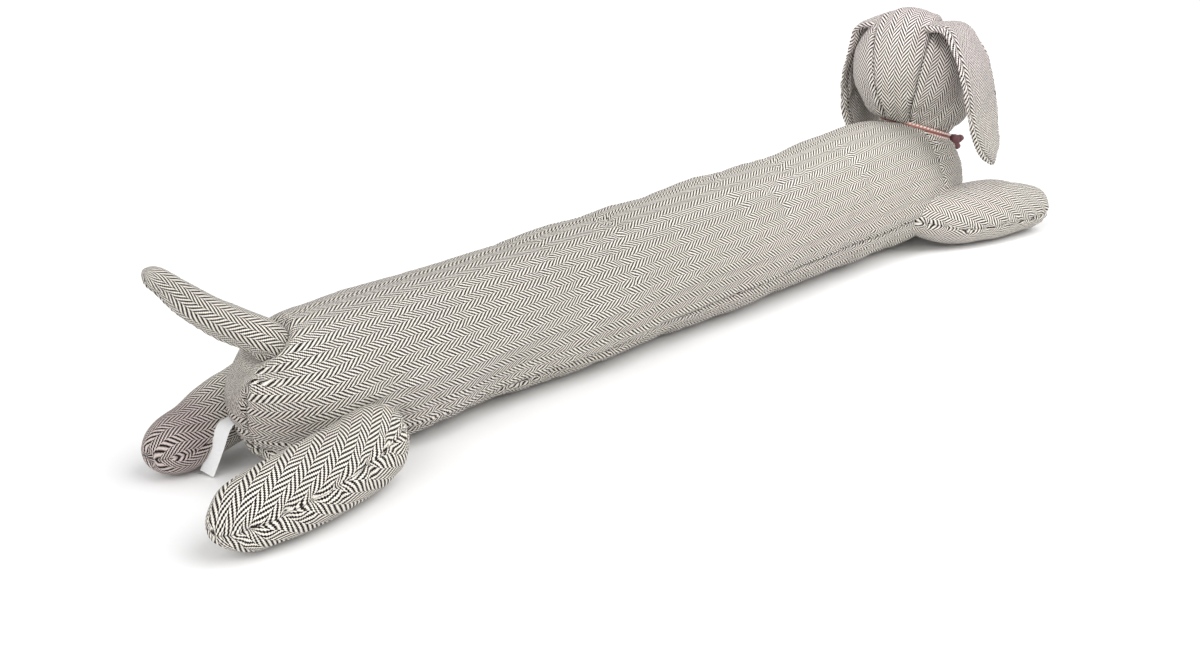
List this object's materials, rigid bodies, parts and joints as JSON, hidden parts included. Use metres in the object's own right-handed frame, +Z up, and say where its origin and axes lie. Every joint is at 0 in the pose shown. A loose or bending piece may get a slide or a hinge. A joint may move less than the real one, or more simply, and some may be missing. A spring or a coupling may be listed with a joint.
{
  "type": "draught excluder",
  "caption": "Dog-shaped draught excluder: a long filled herringbone cloth body with head, drop ears, splayed legs, tail and a narrow collar; lies on the floor along a door.",
  "frame": {"origin": "middle of the outer box, on the floor plane that the undersides lie on", "axes": "+X from the hind feet to the front paws, +Y to the dog's left, +Z up"},
  "size_m": [0.9106, 0.1996, 0.2039],
  "materials": {
    "herringbone": "woven herringbone of cream and dark brown yarn, matte",
    "band": "rose band with two rows of pale stitches",
    "knot_cord": "dark mauve cord, matte",
    "label_tape": "white satin tape, bare"
  },
  "bodies": {
    "root": {"body": "herringbone", "head": "herringbone", "ear_right": "herringbone", "ear_left": "herringbone", "paw_front_right": "herringbone", "paw_front_left": "herringbone", "leg_hind_right": "herringbone", "leg_hind_left": "herringbone", "tail": "herringbone", "collar": "band", "collar_knot": "knot_cord", "care_label": "label_tape"}
  },
  "joints": []
}
